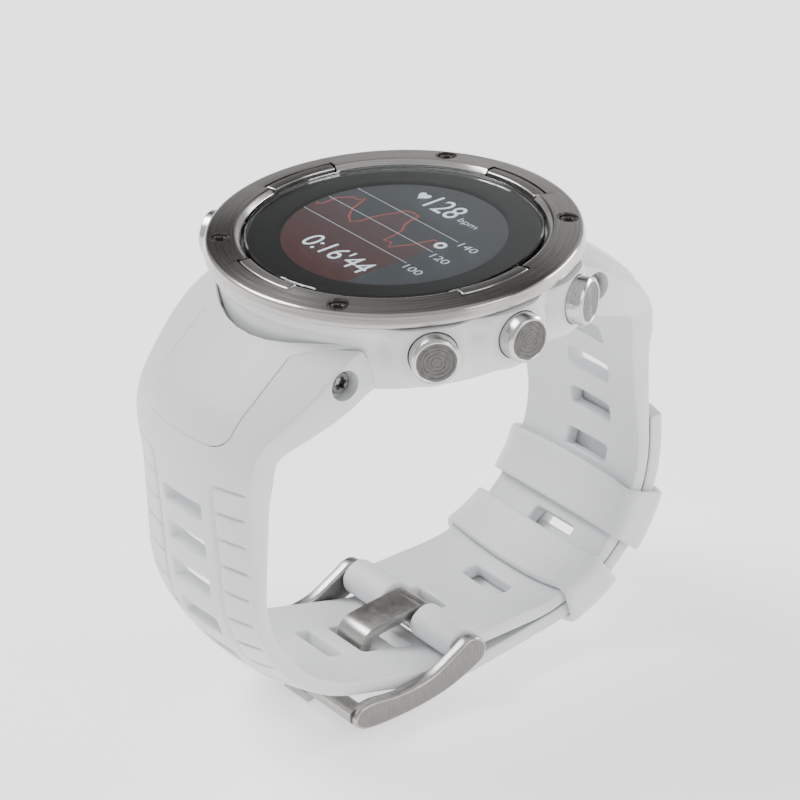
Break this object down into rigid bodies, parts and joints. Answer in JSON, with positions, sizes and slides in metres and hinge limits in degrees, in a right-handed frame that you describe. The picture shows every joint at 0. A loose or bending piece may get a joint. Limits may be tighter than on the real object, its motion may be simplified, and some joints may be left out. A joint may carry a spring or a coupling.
{
  "type": "gps running watch",
  "caption": "Round sports watch with a brushed steel bezel, white polymer case and a white slotted rubber strap buckled into a loop.",
  "frame": {"origin": "centre of the sensor window's face, where the watch rests on the wrist", "axes": "+Z out of the dial, +X to three o'clock (the side with three buttons), +Y to twelve o'clock"},
  "size_m": [0.0494, 0.0657, 0.0592],
  "materials": {
    "case_polymer": "fine matt moulded polymer",
    "strap_rubber": "soft matt silicone rubber",
    "brushed_steel": "brushed along its length, edges polished",
    "button_steel": "turned face with fine rings, bright chamfer",
    "dark_steel": "dark, fine brushed",
    "front_glass": "polished flat crystal with a chamfered edge",
    "sensor_glass": "polished dark optical window",
    "display_panel": "lit colour panel on black",
    "seal_rubber": "black moulded rubber",
    "black_plastic": "fine matt",
    "circuit_board": "green solder mask",
    "cell_foil": "foil",
    "gold_contact": "gold plated"
  },
  "bodies": {
    "watch": {"case": "case_polymer", "bezel": "brushed_steel", "tab_ring": "dark_steel", "glass": "front_glass", "glass_gasket": "seal_rubber", "display": "display_panel", "display_frame": "black_plastic", "main_board": "circuit_board", "gps_antenna": "gold_contact", "battery": "cell_foil", "vibration_motor": "cell_foil", "back_cover": "case_polymer", "back_gasket": "seal_rubber", "sensor_window": "sensor_glass", "sensor_board": "circuit_board", "bezel_screw_1": "dark_steel", "bezel_screw_2": "dark_steel", "bezel_screw_3": "dark_steel", "bezel_screw_4": "dark_steel", "back_screw_1": "dark_steel", "back_screw_2": "dark_steel", "back_screw_3": "dark_steel", "back_screw_4": "dark_steel", "charge_contact_1": "gold_contact", "charge_contact_2": "gold_contact", "charge_contact_3": "gold_contact", "charge_contact_4": "gold_contact", "button_seal_1": "seal_rubber", "button_seal_2": "seal_rubber", "button_seal_3": "seal_rubber", "button_seal_4": "seal_rubber", "button_seal_5": "seal_rubber", "button_switch_1": "black_plastic", "button_switch_2": "black_plastic", "button_switch_3": "black_plastic", "button_switch_4": "black_plastic", "button_switch_5": "black_plastic", "strap_12": "strap_rubber", "strap_6": "strap_rubber", "lug_insert_1": "brushed_steel", "lug_insert_2": "brushed_steel", "lug_insert_3": "brushed_steel", "lug_insert_4": "brushed_steel", "lug_screw_1": "dark_steel", "lug_screw_2": "dark_steel", "lug_screw_3": "dark_steel", "lug_screw_4": "dark_steel"},
    "button_1": {"button_1": "button_steel"},
    "button_2": {"button_2": "button_steel"},
    "button_3": {"button_3": "button_steel"},
    "button_4": {"button_4": "button_steel"},
    "button_5": {"button_5": "button_steel"},
    "keeper_1": {"keeper_1": "strap_rubber"},
    "keeper_2": {"keeper_2": "strap_rubber"},
    "buckle": {"buckle_frame": "brushed_steel", "buckle_pin": "brushed_steel"},
    "tongue": {"buckle_tongue": "brushed_steel"}
  },
  "joints": [
    {"name": "button_1_press", "type": "slide", "parent": "watch", "child": "button_1", "axis": [-0.891, 0.454, 0], "range_m": [0, 0.0006], "stiffness_N_per_m": 900},
    {"name": "button_2_press", "type": "slide", "parent": "watch", "child": "button_2", "axis": [-1, 0, 0], "range_m": [0, 0.0006], "stiffness_N_per_m": 900},
    {"name": "button_3_press", "type": "slide", "parent": "watch", "child": "button_3", "axis": [-0.891, -0.454, 0], "range_m": [0, 0.0006], "stiffness_N_per_m": 900},
    {"name": "button_4_press", "type": "slide", "parent": "watch", "child": "button_4", "axis": [0.891, -0.454, 0], "range_m": [0, 0.0006], "stiffness_N_per_m": 900},
    {"name": "button_5_press", "type": "slide", "parent": "watch", "child": "button_5", "axis": [0.891, 0.454, 0], "range_m": [0, 0.0006], "stiffness_N_per_m": 900},
    {"name": "keeper_1_slide", "type": "hinge", "parent": "watch", "child": "keeper_1", "pos_m": [0, 0.0114, -0.021], "axis": [1, 0, 0], "range_deg": [-15, 5]},
    {"name": "keeper_2_slide", "type": "hinge", "parent": "watch", "child": "keeper_2", "pos_m": [0, 0.0114, -0.021], "axis": [1, 0, 0], "range_deg": [-5, 15]},
    {"name": "buckle_hinge", "type": "hinge", "parent": "watch", "child": "buckle", "pos_m": [0, 0.0002, -0.0394], "axis": [1, 0, 0], "range_deg": [-2.5, 2.5]},
    {"name": "tongue_hinge", "type": "hinge", "parent": "watch", "child": "tongue", "pos_m": [0, 0.0002, -0.0394], "axis": [1, 0, 0], "range_deg": [-2.5, 2.5]}
  ],
  "couplings": [
    {"joint": "tongue_hinge", "follows": "buckle_hinge", "ratio": 1}
  ]
}
